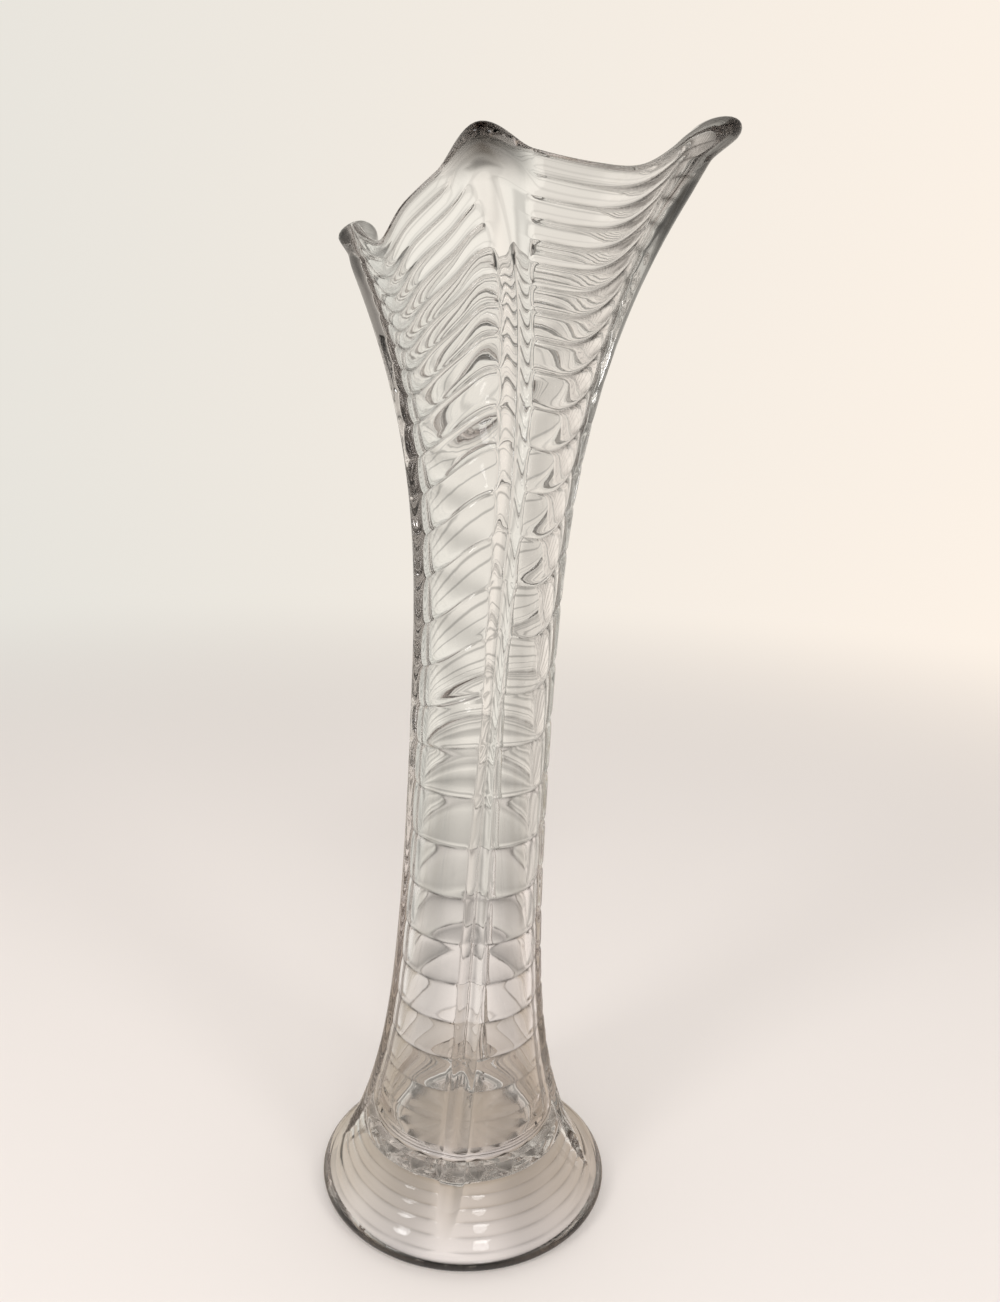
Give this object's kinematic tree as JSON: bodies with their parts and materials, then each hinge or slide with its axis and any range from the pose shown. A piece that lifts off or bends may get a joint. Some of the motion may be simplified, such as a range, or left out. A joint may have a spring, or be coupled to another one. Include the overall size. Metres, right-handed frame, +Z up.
{
  "type": "swung vase",
  "caption": "Tall slim glass vase with a round hollow foot, half-round pillars between rippled panels, and a flared uneven mouth with drawn-out tips, for cut flowers.",
  "frame": {"origin": "middle of the bounding box, level with the surface that the foot stands on; the foot's own axis is 7 mm to the left of it", "axes": "+Z up along the vase's axis; -Y is the front, the side with the front tip; +X is the side of the longest tip"},
  "size_m": [0.109, 0.1038, 0.3337],
  "materials": {
    "clear_glass": "fire-polished clear glass with a faint purple-grey tint"
  },
  "bodies": {
    "root": {"foot": "clear_glass", "pillar_front": "clear_glass", "pillar_right": "clear_glass", "pillar_back": "clear_glass", "pillar_left": "clear_glass", "panel_front_right": "clear_glass", "panel_back_right": "clear_glass", "panel_back_left": "clear_glass", "panel_front_left": "clear_glass"}
  },
  "joints": []
}
